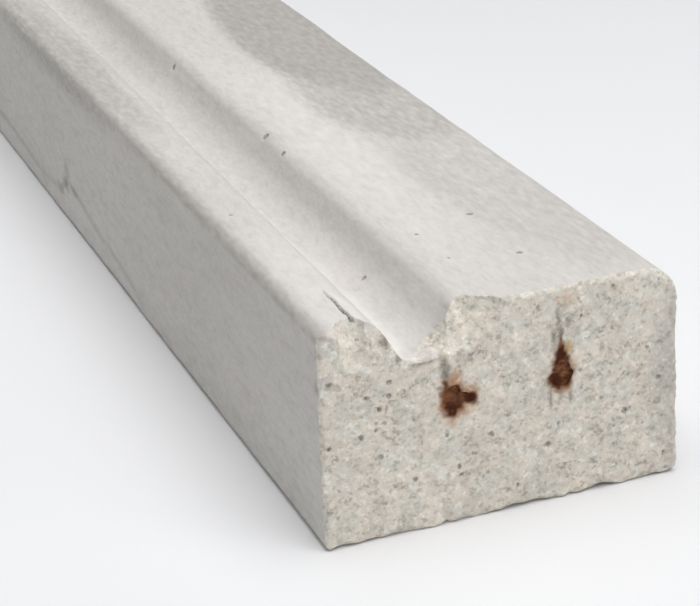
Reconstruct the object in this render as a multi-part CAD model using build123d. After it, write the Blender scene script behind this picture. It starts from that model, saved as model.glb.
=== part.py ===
from build123d import *
import math
import os

# Prestressed concrete lintel with a drip groove, lying with its soffit up.
# Millimetres. X runs across the section from the outer face, beside the groove, to the inner face.
# Y runs along the length and Z is up. The origin is the middle of the bed face that the lintel lies on.

# Beam
LENGTH = 600.0
WIDTH = 100.0
HEIGHT = 60.0
# Each side leans in by this much from the bed to the soffit, so that the beam leaves its mould.
MOULD_TAPER = 0.6
OUTER_ARRIS_RADIUS = 3.0
INNER_ARRIS_RADIUS = 9.5
BED_ARRIS_RADIUS = 2.0

# Drip groove in the soffit: the outer flank rolls over a wide lip, the inner one sweeps up from a wide cove
OUTER_LAND_WIDTH = 15.7
GROOVE_DEPTH = 12.0
GROOVE_FLOOR = 0.5
OUTER_FLANK_DEGREES = 60.0
INNER_FLANK_DEGREES = 60.0
# Radii of the groove as shares of its depth
OUTER_LIP_SHARE = 0.5
OUTER_COVE_SHARE = 0.2
INNER_COVE_SHARE = 1.025
INNER_LIP_SHARE = 0.42

# Prestressing wires, cast in along the whole length and cut off just below the end faces
WIRE_DIAMETER = 7.0
WIRE_SPACING = 29.5
WIRE_HEIGHT = 35.5
# The pair's middle stands this far from the section's middle, towards the inner face.
WIRE_PAIR_OFFSET = 1.6
WIRE_SETBACK = 0.8
# Where each wire comes out, the concrete is broken back in a small funnel.
SPALL_MARGIN = 1.5
SPALL_DEPTH = 2.0

WIRE_RADIUS = WIRE_DIAMETER / 2
WIRE_PLACES = {
    "wire_outer": WIRE_PAIR_OFFSET - WIRE_SPACING / 2,
    "wire_inner": WIRE_PAIR_OFFSET + WIRE_SPACING / 2,
}


def cove_tangent(radius, flank_degrees):
    """Length that a cove takes up on the floor it meets."""
    return radius * math.tan(math.radians(flank_degrees) / 2)


def flank_run(flank_degrees):
    """Width that a flank takes up between lip and floor."""
    return GROOVE_DEPTH / math.tan(math.radians(flank_degrees))


def section():
    """Cross-section with its arrises and groove rounded, standing in the XZ plane."""
    outer_cove = GROOVE_DEPTH * OUTER_COVE_SHARE
    inner_cove = GROOVE_DEPTH * INNER_COVE_SHARE
    floor_level = HEIGHT - GROOVE_DEPTH
    soffit_edge = WIDTH / 2 - MOULD_TAPER
    outer_lip = OUTER_LAND_WIDTH - soffit_edge
    outer_foot = outer_lip + flank_run(OUTER_FLANK_DEGREES)
    inner_foot = (
        outer_foot
        + cove_tangent(outer_cove, OUTER_FLANK_DEGREES)
        + GROOVE_FLOOR
        + cove_tangent(inner_cove, INNER_FLANK_DEGREES)
    )
    inner_lip = inner_foot + flank_run(INNER_FLANK_DEGREES)
    corners = [
        ((-WIDTH / 2, 0), BED_ARRIS_RADIUS),
        ((WIDTH / 2, 0), BED_ARRIS_RADIUS),
        ((soffit_edge, HEIGHT), INNER_ARRIS_RADIUS),
        ((inner_lip, HEIGHT), GROOVE_DEPTH * INNER_LIP_SHARE),
        ((inner_foot, floor_level), inner_cove),
        ((outer_foot, floor_level), outer_cove),
        ((outer_lip, HEIGHT), GROOVE_DEPTH * OUTER_LIP_SHARE),
        ((-soffit_edge, HEIGHT), OUTER_ARRIS_RADIUS),
    ]
    points = [point for point, radius in corners]
    radii = [radius for point, radius in corners]
    return Plane.XZ * make_face(FilletPolyline(*points, radius=radii, close=True))


def wire_bore():
    """Space that a wire leaves in the concrete, with a funnel at each end."""
    end = LENGTH / 2
    mouth = WIRE_RADIUS + SPALL_MARGIN
    throat = end - SPALL_DEPTH
    half_outline = Polyline(
        (0, -end),
        (mouth, -end),
        (WIRE_RADIUS, -throat),
        (WIRE_RADIUS, throat),
        (mouth, end),
        (0, end),
        close=True,
    )
    return revolve(make_face(half_outline), axis=Axis.Y)


def concrete_beam():
    """The casting: one prism with its groove, bored for the wires."""
    beam = extrude(Pos(0, LENGTH / 2, 0) * section(), amount=LENGTH)
    for place in WIRE_PLACES.values():
        beam -= Pos(place, 0, WIRE_HEIGHT) * wire_bore()
    return beam


def wire(place):
    """One plain round wire, a little shorter than the beam at both ends."""
    length = LENGTH - 2 * WIRE_SETBACK
    return Pos(place, 0, WIRE_HEIGHT) * Rot(90, 0, 0) * Cylinder(WIRE_RADIUS, length)


os.makedirs("parts", exist_ok=True)
export_step(concrete_beam(), "parts/concrete_beam.step")
for node, place in WIRE_PLACES.items():
    export_step(wire(place), f"parts/{node}.step")
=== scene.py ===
import math

import bmesh
import bpy
from bpy.props import FloatProperty, FloatVectorProperty, IntProperty, PointerProperty
from mathutils import Euler, Matrix, Vector, geometry, kdtree, noise


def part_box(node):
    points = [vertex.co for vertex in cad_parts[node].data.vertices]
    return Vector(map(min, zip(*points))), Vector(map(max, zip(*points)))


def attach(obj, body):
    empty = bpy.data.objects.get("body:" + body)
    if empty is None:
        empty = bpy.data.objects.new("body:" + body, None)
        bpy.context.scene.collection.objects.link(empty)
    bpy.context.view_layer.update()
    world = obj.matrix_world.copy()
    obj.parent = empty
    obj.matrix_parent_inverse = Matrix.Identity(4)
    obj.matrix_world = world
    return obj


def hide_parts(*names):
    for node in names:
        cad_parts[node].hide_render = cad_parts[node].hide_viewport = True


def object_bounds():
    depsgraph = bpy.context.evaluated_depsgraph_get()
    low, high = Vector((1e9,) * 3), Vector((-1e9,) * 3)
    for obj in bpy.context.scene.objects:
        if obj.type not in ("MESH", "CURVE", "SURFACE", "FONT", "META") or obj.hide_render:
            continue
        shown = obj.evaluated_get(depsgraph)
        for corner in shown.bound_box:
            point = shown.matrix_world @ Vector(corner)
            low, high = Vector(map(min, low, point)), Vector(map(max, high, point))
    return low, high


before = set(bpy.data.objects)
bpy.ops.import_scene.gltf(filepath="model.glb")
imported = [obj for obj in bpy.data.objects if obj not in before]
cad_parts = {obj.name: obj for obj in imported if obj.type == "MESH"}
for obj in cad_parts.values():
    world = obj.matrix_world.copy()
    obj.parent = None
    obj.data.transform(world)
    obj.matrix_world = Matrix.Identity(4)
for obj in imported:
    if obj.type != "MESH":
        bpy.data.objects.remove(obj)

bl_info = {
    "name": "Concrete lintel",
    "version": (1, 0, 0),
    "blender": (4, 5, 0),
    "location": "View3D > Sidebar > Lintel",
    "description": "Dresses a prestressed concrete lintel with worn concrete and rusted wire ends",
    "category": "Object",
}

# Frame of the part, in metres: X across, Y along the length with the worn end at -Y, Z up
CAD_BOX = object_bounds()
BEAM_LOW, BEAM_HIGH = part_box("concrete_beam")
NEAR_END = BEAM_LOW.y
FAR_END = BEAM_HIGH.y
SOFFIT = BEAM_HIGH.z
WIRE_NODES = ("wire_outer", "wire_inner")
BODY = "root"
MM = 0.001
TINY = 1e-6
STRAIGHT = math.radians(170)
SHARP = math.radians(50)


def wire_axis(node):
    """Middle of a wire in the section, as (x, z)."""
    low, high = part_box(node)
    return (low.x + high.x) / 2, (low.z + high.z) / 2


WIRE_AXES = {node: wire_axis(node) for node in WIRE_NODES}
WIRE_RADIUS = (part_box(WIRE_NODES[0])[1].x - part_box(WIRE_NODES[0])[0].x) / 2


# Sizes and colours that a user would change

class BeamShape(bpy.types.PropertyGroup):
    """Sizes of the casting's section and of the mesh that carries its relief."""

    width: FloatProperty(
        name="Bed width", description="Width across the bed face",
        default=0.1, unit="LENGTH",
    )
    taper: FloatProperty(
        name="Mould taper", description="Lean of each side from bed to soffit",
        default=0.0006, unit="LENGTH",
    )
    outer_arris: FloatProperty(
        name="Outer arris", description="Radius of the soffit edge beside the groove",
        default=0.003, unit="LENGTH",
    )
    inner_arris: FloatProperty(
        name="Inner arris", description="Radius of the other soffit edge",
        default=0.0095, unit="LENGTH",
    )
    bed_arris: FloatProperty(
        name="Bed arris", description="Radius of the two bed edges",
        default=0.002, unit="LENGTH",
    )
    outer_land: FloatProperty(
        name="Outer land", description="Width of the soffit outside the groove",
        default=0.0157, unit="LENGTH",
    )
    groove_depth: FloatProperty(
        name="Groove depth", description="Depth below the soffit",
        default=0.012, unit="LENGTH",
    )
    groove_floor: FloatProperty(
        name="Groove floor", description="Flat strip between the two coves",
        default=0.0005, unit="LENGTH",
    )
    outer_flank: FloatProperty(
        name="Outer flank", description="Steepness of the outer flank",
        default=math.radians(60), subtype="ANGLE",
    )
    inner_flank: FloatProperty(
        name="Inner flank", description="Steepness of the inner flank",
        default=math.radians(60), subtype="ANGLE",
    )
    outer_lip: FloatProperty(
        name="Outer lip", description="Radius of the outer lip",
        default=0.006, unit="LENGTH",
    )
    outer_cove: FloatProperty(
        name="Outer cove", description="Radius of the outer cove",
        default=0.0024, unit="LENGTH",
    )
    inner_cove: FloatProperty(
        name="Inner cove", description="Radius of the inner cove",
        default=0.0123, unit="LENGTH",
    )
    inner_lip: FloatProperty(
        name="Inner lip", description="Radius of the inner lip",
        default=0.00504, unit="LENGTH",
    )
    cell: FloatProperty(
        name="Cell", description="Mesh size across the section",
        default=0.00125, unit="LENGTH",
    )
    rows: IntProperty(name="Rows", description="Rows of faces along the length", default=150)
    crowding: FloatProperty(
        name="Crowding", description="How much closer the rows stand at the ends",
        default=0.8, subtype="FACTOR",
    )
    bore_sides: IntProperty(name="Bore sides", description="Sides of each wire's bore", default=16)
    wire_sides: IntProperty(name="Wire sides", description="Sides of each wire", default=40)


class BeamWear(bpy.types.PropertyGroup):
    """How rough and worn the casting and its wires are."""

    end_relief: FloatProperty(
        name="End relief", description="Depth of the broken texture on the end faces",
        default=0.0008, unit="LENGTH",
    )
    end_reach: FloatProperty(
        name="End reach", description="How far behind an end face its texture draws the mesh in",
        default=0.003, unit="LENGTH",
    )
    bed_relief: FloatProperty(
        name="Bed relief", description="Depth of the tamped texture of the bed",
        default=0.0012, unit="LENGTH",
    )
    skin_relief: FloatProperty(
        name="Skin relief", description="Depth of the waves in the moulded faces",
        default=0.00018, unit="LENGTH",
    )
    arris_wear: FloatProperty(
        name="Arris wear", description="Depth of the wear along the long edges",
        default=0.0003, unit="LENGTH",
    )
    edge_wear: FloatProperty(
        name="Edge wear", description="Usual width of the worn edge round an end face",
        default=0.0009, unit="LENGTH",
    )
    edge_wear_spread: FloatProperty(
        name="Edge wear spread", description="How much that width varies",
        default=0.0009, unit="LENGTH",
    )
    line_depth: FloatProperty(
        name="Line depth", description="Depth of the line that the mould left low on the outer side",
        default=0.0004, unit="LENGTH",
    )
    line_width: FloatProperty(
        name="Line width", description="Half width of that line",
        default=0.0024, unit="LENGTH",
    )
    crack_width: FloatProperty(
        name="Crack width", description="Widest part of the crack",
        default=0.0012, unit="LENGTH",
    )
    crack_depth: FloatProperty(
        name="Crack depth", description="Depth of the crack",
        default=0.0012, unit="LENGTH",
    )
    scale_depth: FloatProperty(
        name="Rust scale", description="Thickness of the rust on the wire ends",
        default=0.0007, unit="LENGTH",
    )


class Finish(bpy.types.PropertyGroup):
    """Colours of the concrete and of the rust."""

    skin: FloatVectorProperty(
        name="Moulded skin", description="Cement skin left by the mould",
        default=(0.69, 0.663, 0.636), subtype="COLOR",
    )
    # Weathered skin and painted shade: darker mottled patches, and the same colour paints shadow along the
    # mould's line and shade on the outer lip's rim.
    damp: FloatVectorProperty(
        name="Weathered skin", description="Darker mottled patches",
        default=(0.37, 0.35, 0.325), subtype="COLOR",
    )
    # Lime bloom and painted light: paler patches, and the same colour paints light on the strip below the
    # mould's line and along the outer lip.
    bloom: FloatVectorProperty(
        name="Lime bloom", description="Paler patches of the skin",
        default=(0.8, 0.775, 0.75), subtype="COLOR",
    )
    cement: FloatVectorProperty(
        name="Broken cement", description="Cement of a broken face",
        default=(0.715, 0.668, 0.6), subtype="COLOR",
    )
    dark_grain: FloatVectorProperty(
        name="Dark grain", description="Darkest sand in a broken face",
        default=(0.33, 0.31, 0.275), subtype="COLOR",
    )
    pale_grain: FloatVectorProperty(
        name="Pale grain", description="Palest sand in a broken face",
        default=(0.88, 0.86, 0.82), subtype="COLOR",
    )
    # Grime and painted shade: dirt in holes and cracks, with shade painted darker the deeper they lie.
    grime: FloatVectorProperty(
        name="Grime", description="Dirt in holes and cracks",
        default=(0.085, 0.08, 0.07), subtype="COLOR",
    )
    # Dark streaks beside the wires; the same colour paints shadow at the foot of the groove on the near end
    # face.
    soot: FloatVectorProperty(
        name="Dark streak", description="Dark streaks beside the wires",
        default=(0.2, 0.18, 0.14), subtype="COLOR",
    )
    rust_dark: FloatVectorProperty(
        name="Dark rust", description="Deep red-brown rust",
        default=(0.062, 0.013, 0.004), subtype="COLOR",
    )
    rust_bright: FloatVectorProperty(
        name="Bright rust", description="Orange-brown rust",
        default=(0.25, 0.105, 0.045), subtype="COLOR",
    )
    bleed: FloatVectorProperty(
        name="Rust bleed", description="Rust washed into the cement",
        default=(0.56, 0.38, 0.25), subtype="COLOR",
    )
    orange: FloatVectorProperty(
        name="Orange rust", description="Thin rust round the scale",
        default=(0.38, 0.18, 0.065), subtype="COLOR",
    )
    ochre: FloatVectorProperty(
        name="Ochre", description="Yellow rust washed into the cement",
        default=(0.6, 0.46, 0.24), subtype="COLOR",
    )


class Stage(bpy.types.PropertyGroup):
    """Camera, floor and lights."""

    lens: FloatProperty(name="Lens", description="Focal length", default=112.96, unit="CAMERA")
    camera_place: FloatVectorProperty(
        name="Camera place", description="Camera, measured from the near end's lower outer corner",
        default=(-0.15793, -0.455438, 0.278346), subtype="TRANSLATION", unit="LENGTH",
    )
    camera_turn: FloatVectorProperty(
        name="Camera turn", description="Camera rotation",
        default=(math.radians(66.4405), math.radians(2.577), math.radians(-21.3235)), subtype="EULER",
    )
    floor: FloatVectorProperty(
        name="Floor", description="Floor colour",
        default=(0.838, 0.841, 0.853), subtype="COLOR",
    )
    key_power: FloatProperty(
        name="Key power", description="Power of the main light",
        default=16.0, unit="POWER",
    )
    top_power: FloatProperty(
        name="Top power", description="Power of the light overhead",
        default=11.7, unit="POWER",
    )
    fill_power: FloatProperty(
        name="Fill power", description="Power of the light in front",
        default=4.1, unit="POWER",
    )
    sky: FloatProperty(name="Sky", description="Strength of the light from all round", default=0.214)
    sky_colour: FloatVectorProperty(
        name="Sky colour", description="Colour of the light from all round",
        default=(0.97, 0.99, 1.0), subtype="COLOR",
    )


# Lamps of the stage: name, place and size in metres
LAMPS = (
    ("key", (0.2, -0.75, 1.5), 1.4),
    ("top", (-0.13, 0.06, 1.6), 1.6),
    ("fill", (0.9, -1.5, 0.9), 1.2),
)

# Damage and stains, in millimetres: across from the middle, along from the near end, up from the bed

# Breaks in the soffit's edge at the near end: across, half width, setback at the soffit, reach down,
# skew and raggedness
NEAR_BREAKS = (
    (-50, 4.5, 1.2, 5, 0, 0.3),
    (-39.6, 5, 6.6, 14, 0, 0.6),
    (-34.2, 4.6, 3.4, 10, -0.35, 0.5),
    (-15, 8.4, 7.8, 14.5, 0, 0.6),
    (-4.5, 8.5, 5.4, 11, -0.6, 0.7),
    (32, 8, 1.6, 3, 0, 0.5),
)
# Breaks at the far end, listed in the same way
FAR_BREAKS = (
    (-44, 6, 3.2, 7, 0.2, 0.6),
    (-16, 7, 3.6, 8, 0, 0.6),
    (22, 12, 3.4, 7, -0.1, 0.7),
)
# Chips elsewhere round the ends: middle (across, outside the end, up), reach (across, along, up)
# and raggedness
NEAR_CHIPS = (
    ((-21.4, 1.5, 57), (9.2, 15.6, 9.9), 0.6),
    ((-42, 3, -3), (9, 5, 4.6), 0.5),
    ((-26, 2.2, -2.4), (3.4, 3.8, 3.2), 0.3),
    ((0, 2.2, -2.4), (4, 3.8, 3.3), 0.3),
    ((10, 2.2, -2.4), (3.6, 3.8, 3.3), 0.3),
    ((28, 2.2, -2.4), (3.4, 3.8, 3.2), 0.3),
    ((38, 2.2, -2.4), (4, 3.8, 3.3), 0.3),
    ((50, 2.5, -2.4), (4.4, 5, 5), 0.4),
)
FAR_CHIPS = (
    ((50, 9, 52), (7, 11.5, 14), 0.8),
    ((-28, 3, -3), (12, 5.4, 5.4), 0.6),
    ((18, 2.4, -2.4), (6, 4.2, 4.2), 0.5),
    ((49, 3, -2.4), (6, 5.4, 5.4), 0.5),
)
# Pits round the wire ends, measured from each wire's middle
WIRE_PITS = {
    "wire_outer": (
        ((-0.5, 2.8, -0.7), (5.4, 4.2, 6.8), 0.4),
        ((3.7, 2.5, -0.9), (3.0, 3.3, 2.7), 0.4),
    ),
    "wire_inner": (
        ((-0.2, 2.8, -0.2), (5.4, 4.2, 6.0), 0.4),
        ((-0.2, 2.1, 5.2), (2.2, 2.8, 4.6), 0.3),
    ),
}
# Rust scale round the wire ends: direction from the wire's middle in degrees, growth
# and half-width in degrees
WIRE_LOBES = {
    "wire_outer": ((0, 0.4, 32), (255, 0.5, 40), (125, 0.3, 40), (48, -1.0, 22)),
    "wire_inner": ((90, 0.6, 40), (285, 0.3, 50)),
}
# Mortar over the edges of the near wire ends: direction in degrees, reach inwards and half-width in degrees
WIRE_COVERS = {
    "wire_outer": ((45, 1.6, 26), (312, 1.7, 26), (178, 0.6, 20)),
    "wire_inner": ((150, 0.9, 16), (335, 0.6, 18), (30, 0.6, 16), (240, 0.3, 16)),
}
# Blow holes: middle, radius
HOLES = (
    ((17, 26, 60), 0.75), ((16.5, 57, 60), 0.75), ((-1, 31, 60), 0.45), ((-2, 50, 60), 0.5),
    ((-42, 87, 60), 0.45), ((-11.4, 131, 58.8), 0.8), ((-11, 148, 59), 1.0), ((-12.9, 237, 56.4), 0.95),
    ((-17.7, 50, 50), 0.6), ((25, 352, 60), 0.9), ((4, 441, 60), 0.7), ((31, 508, 60), 1.1),
    ((-44, 405, 60), 0.7), ((-21, 470, 48), 0.8), ((50, 118, 41), 1.0), ((50, 236, 22), 0.8),
    ((50, 391, 34), 1.2), ((50, 436, 47), 0.7), ((50, 517, 16), 0.9), ((-50, 428, 31), 0.8),
    ((-50, 503, 45), 1.0),
)
# Grains broken out of the near end face, left as pits that dirt and painted shade darken: across, up, radius
SPECKS = (
    (-31.4, 39.5, 0.75), (-34, 37, 0.7), (-39, 30, 0.9), (-47.5, 28.5, 0.75), (-35, 33, 0.6),
    (-34, 23.5, 0.8), (-25, 15, 0.7), (-13, 16, 0.7), (-4, 23, 0.8), (34.5, 21.5, 0.85), (12, 16.5, 0.9),
    (27.5, 26.5, 0.65), (46, 6, 0.8), (44, 29, 0.8), (-12.3, 13.2, 0.6), (-16, 25.5, 0.55),
    (-46.9, 46.4, 0.9), (-37.5, 40.5, 0.6), (-35, 31.3, 0.5), (3.5, 7, 0.6), (31, 57, 0.6),
    (-31, 43.5, 0.8), (15.5, 22, 0.6), (41, 38, 0.6), (22, 51, 0.5),
)
# Crack in the outer land: across, first and last place along
CRACK = (-38.0, 6.0, 26.0)
# Line that the mould left low on the outer side: along, up
MOULD_LINE = (
    (150, 0), (178, 7.5), (203, 9.9), (219, 11.3), (240, 14.8), (254, 16), (268, 9), (295, 7.4),
    (322, 9.4), (350, 10.4), (395, 8), (430, 3), (455, 0),
)
# Stains, painted light and painted shade on the concrete: colour, middle, reach, softness of the edge and
# strength
STAINS = (
    ("damp", (36, 75, 60), (26, 85, 25), 0.4, 0.24),
    ("damp", (32.5, 165, 60), (26, 62, 25), 0.35, 0.48),
    ("damp", (33, 240, 60), (25.5, 95, 25), 0.3, 0.72),
    ("damp", (35, 335, 60), (28, 95, 25), 0.8, 0.7),
    ("damp", (-46, 252, 60), (14, 130, 14), 0.7, 0.52),
    # Darker along the whole outer arris of the soffit.
    ("damp", (-50.3, 220, 59.8), (8.5, 700, 4), 1.0, 1.0),
    # Darker towards the right edge of the near end face.
    ("damp", (54, 0, 32), (17, 8, 45), 0.8, 0.42),
    ("damp", (-22, 300, 49), (9, 420, 8), 0.9, 0.1),
    ("damp", (-24, 270, 50), (12, 120, 12), 1.0, 0.16),
    ("bloom", (3, 130, 60), (17, 150, 8), 0.8, 0.42),
    ("bloom", (-40, 32, 60), (10, 50, 6), 0.8, 0.3),
    # Painted light along the outer lip, where it turns away from the lamps.
    ("bloom", (-34.6, 10, 59), (3.8, 130, 4), 0.8, 0.28),
    ("bloom", (-21.5, 3, 47.8), (7.5, 5, 1.6), 0.8, 0.6),
    ("bloom", (-24.6, 0, 48.2), (3.4, 110, 3), 0.8, 0.45),
    ("damp", (-50, 58, 19), (10, 5, 4), 1.0, 0.22),
    ("damp", (-50, 68, 7), (10, 6, 4), 1.0, 0.22),
    ("damp", (-50, 133, 47), (10, 3, 4), 1.0, 0.3),
    ("damp", (-50, 180, 45.6), (10, 5, 5), 1.0, 0.22),
    ("damp", (-50, 93, 57), (10, 2.5, 2.5), 1.0, 0.3),
    ("soot", (-50, 252, 20.5), (9, 3.6, 6), 1.0, 0.5),
    ("soot", (-50, 256, 14.5), (9, 6, 4.5), 1.0, 0.55),
    ("soot", (-50, 264, 10), (9, 6, 3.4), 1.0, 0.4),
    ("soot", (-50, 245, 15), (9, 8, 2.6), 1.0, 0.4),
    ("soot", (-50, 1.5, 45.5), (1.6, 3, 4), 1.0, 0.4),
    ("soot", (-31.6, 1, 54.6), (2.6, 7, 2.6), 1.0, 0.9),
    ("soot", (-34.9, 2, 54.2), (1.0, 6, 2.4), 1.0, 0.5),
    ("damp", (-21.5, 3, 49), (8, 7, 3.5), 0.9, 0.42),
    # Painted shadow at the foot of the groove on the near end face.
    ("soot", (-27.8, 0.6, 49.2), (2.4, 5, 1.8), 1.0, 0.8),
    ("soot", (-22.5, 0, 46.9), (6.5, 4, 1.0), 1.0, 0.65),
    ("soot", (-12.4, 6, 57.6), (1.8, 5, 2.2), 1.0, 0.3),
    ("soot", (-12.6, 3, 54.4), (1.8, 5, 0.9), 1.0, 0.35),
    ("bleed", (-13.2, 0, 35.2), (7.6, 8, 8.2), 0.85, 0.95),
    ("bleed", (-13.2, 0, 41.6), (2.8, 8, 2.8), 0.8, 0.8),
    ("bleed", (-14.6, 0, 28.6), (2.8, 8, 2.4), 0.9, 0.6),
    ("bleed", (16.3, 0, 36.5), (6.2, 8, 8.4), 0.9, 0.8),
    ("bleed", (17.8, 0, 56.3), (4.4, 8, 2.8), 0.9, 0.55),
    ("ochre", (18.3, 0, 42.6), (1.7, 8, 3.4), 0.8, 0.9),
    ("soot", (-16.3, 0, 45.4), (2.0, 8, 4.0), 1.0, 0.85),
    ("soot", (-15.8, 0, 42.2), (2.1, 8, 4.4), 1.0, 1.0),
    ("soot", (-17.8, 0, 39.2), (1.8, 8, 1.0), 1.0, 0.7),
    ("soot", (14.2, 0, 45.9), (1.5, 8, 4.6), 1.0, 0.95),
    ("soot", (15.2, 0, 51.4), (1.1, 8, 4.2), 1.0, 0.8),
    ("soot", (16.2, 0, 47.6), (1.2, 8, 4.6), 1.0, 0.9),
    ("soot", (18.2, 0, 49.8), (1.3, 8, 2.6), 1.0, 0.7),
    ("soot", (13.2, 0, 29.8), (1.1, 8, 4.2), 1.0, 0.85),
    ("soot", (18.7, 0, 29.2), (1.1, 8, 3.0), 1.0, 0.75),
    ("soot", (16.0, 0, 29.0), (1.0, 8, 2.4), 1.0, 0.5),
    ("orange", (-13.8, 0, 34.8), (5.4, 8, 6.8), 0.7, 0.9),
    ("orange", (-9.2, 0, 35.4), (3.6, 8, 3.4), 0.8, 0.85),
    ("orange", (-14, 0, 39.8), (4, 8, 2.6), 0.9, 0.75),
    ("orange", (16.1, 0, 35.2), (5.0, 8, 5.8), 0.7, 0.8),
    ("orange", (16.6, 0, 42.2), (2.4, 8, 4.4), 0.9, 0.8),
    ("rust", (-14.0, 0, 35.2), (4.3, 8, 5.2), 0.5, 1.0),
    ("rust", (-14.3, 0, 32.4), (3.3, 8, 3.6), 0.6, 1.0),
    ("rust", (-9.2, 0, 34.5), (2.7, 8, 2.4), 0.6, 1.0),
    ("rust", (-15.9, 0, 39.6), (1.7, 8, 2.6), 0.9, 0.95),
    ("rust", (16.0, 0, 35.0), (4.4, 8, 5.0), 0.45, 1.0),
    ("rust", (16.2, 0, 39.2), (3.4, 8, 3.0), 0.5, 1.0),
    ("rust", (16.2, 0, 40.8), (2.3, 8, 3.2), 0.5, 1.0),
    ("rust", (16.2, 0, 42.8), (1.6, 8, 3.0), 0.6, 1.0),
    ("rust", (16.1, 0, 44.8), (0.9, 8, 2.4), 0.8, 0.9),
    ("pale_grain", (20.3, 0, 31.5), (1.4, 8, 4.4), 0.9, 0.5),
    ("pale_grain", (13.0, 0, 37.2), (1.1, 8, 1.6), 0.9, 0.6),
    ("bleed", (-13.2, 600, 35.5), (6.4, 8, 6.8), 1.0, 0.75),
    ("bleed", (16.3, 600, 34.5), (6.0, 8, 7.4), 1.0, 0.7),
    ("orange", (-13.2, 600, 35.2), (5.2, 8, 5.4), 0.7, 0.8),
    ("orange", (16.4, 600, 35.0), (5.0, 8, 5.6), 0.7, 0.8),
    ("rust", (-13.2, 600, 35.2), (4.3, 8, 4.6), 0.35, 1.0),
    ("rust", (16.4, 600, 35.0), (4.2, 8, 4.8), 0.35, 1.0),
    ("soot", (15.6, 600, 28.5), (1.2, 8, 5.5), 0.8, 0.5),
    # Painted light on the outer land and lip near the end, and painted shade along the lip's rim.
    ("bloom", (-36.8, 14, 59.8), (4.6, 26, 3), 0.9, 0.55),
    ("damp", (-33.3, 40, 59.2), (1.5, 110, 1.6), 1.0, 0.13),
)
# Stains on the wire ends, listed in the same way
WIRE_STAINS = (
    ("orange", (-10.0, 0, 38.4), (2.6, 6, 2.6), 0.8, 0.95),
    ("bleed", (-9.4, 0, 38.9), (1.8, 6, 1.8), 0.6, 0.9),
    ("cement", (-9.7, 0, 31.2), (1.6, 6, 2.0), 0.6, 0.95),
    ("orange", (-16.4, 0, 33.0), (1.0, 6, 2.2), 0.9, 0.7),
    ("bleed", (13.1, 0, 37.1), (1.0, 6, 1.3), 0.8, 0.8),
    ("orange", (17.0, 0, 35.4), (1.6, 6, 1.8), 1.0, 0.6),
    ("rust_dark", (-13.3, 0, 33.8), (3.4, 6, 3.2), 1.0, 0.75),
    ("rust_dark", (16.4, 0, 38.6), (1.8, 6, 2.0), 0.9, 0.7),
    ("orange", (-15.4, 0, 37.1), (1.9, 6, 1.7), 1.0, 0.35),
)
# Layers of stain, painted light and painted shade from the lowest up, and the size of the specks that fray
# them, in metres
STAIN_SPECKS = {
    "bloom": 0.0026, "damp": 0.0017, "bleed": 0.0016, "ochre": 0.0012, "soot": 0.0008,
    "orange": 0.0014, "rust": 0.0013, "pale_grain": 0.0012, "grime": 0.0008,
}
# Stains of the skin, with the painted light and shade among them, drawn out along the length
DRAWN_STAINS = ("damp", "bloom")
# Seed of the stains' drift
STAIN_SEED = 1
WIRE_SPECKS = {"rust_dark": 0.001, "orange": 0.001, "bleed": 0.001, "cement": 0.001}


# Section and mesh

LEAST_ARC_STEPS = 6
ARC_STEPS_PER_CELL = 2
MERGED_PARTS_OF_CELL = 5
# Zones of finer mesh, in metres: behind the near end, down to a height, beside the crack
# and out from a place across
WORN_REACH = 0.0095
WORN_HEIGHT = 0.037
CRACK_STRIP = 0.003
OUTER_SIDE = -0.049
# Zones of finer mesh on the outer side, in millimetres: top, first and last place along
SIDE_ZONES = ((19, 150, 460), (27, 228, 280))
# Longest edges in the wire pits and in the finest damage, in metres
PIT_CELL = 0.0005
FINE_CELL = 0.00034
# How far the fine mesh reaches, as shares of a wire's, a hole's or a grain's radius
# and of the crack's width
PIT_REACH = 1.7
HOLE_REACH = 2
GRAIN_REACH = 1.3
CRACK_REACH = 1.2
# How far the crack's strip runs past its end, in millimetres
CRACK_RUN_OUT = 2


def section_corners(shape):
    """Corners of the section as ((x, z), radius), in order."""
    edge = shape.width / 2 - shape.taper
    floor = SOFFIT - shape.groove_depth
    outer_lip = shape.outer_land - edge
    outer_foot = outer_lip + shape.groove_depth / math.tan(shape.outer_flank)
    outer_tangent = shape.outer_cove * math.tan(shape.outer_flank / 2)
    inner_tangent = shape.inner_cove * math.tan(shape.inner_flank / 2)
    inner_foot = outer_foot + outer_tangent + inner_tangent + shape.groove_floor
    inner_lip = inner_foot + shape.groove_depth / math.tan(shape.inner_flank)
    return (
        ((-shape.width / 2, 0), shape.bed_arris),
        ((shape.width / 2, 0), shape.bed_arris),
        ((edge, SOFFIT), shape.inner_arris),
        ((inner_lip, SOFFIT), shape.inner_lip),
        ((inner_foot, floor), shape.inner_cove),
        ((outer_foot, floor), shape.outer_cove),
        ((outer_lip, SOFFIT), shape.outer_lip),
        ((-edge, SOFFIT), shape.outer_arris),
    )


def everything(bm):
    return bm.verts[:] + bm.edges[:] + bm.faces[:]


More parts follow.
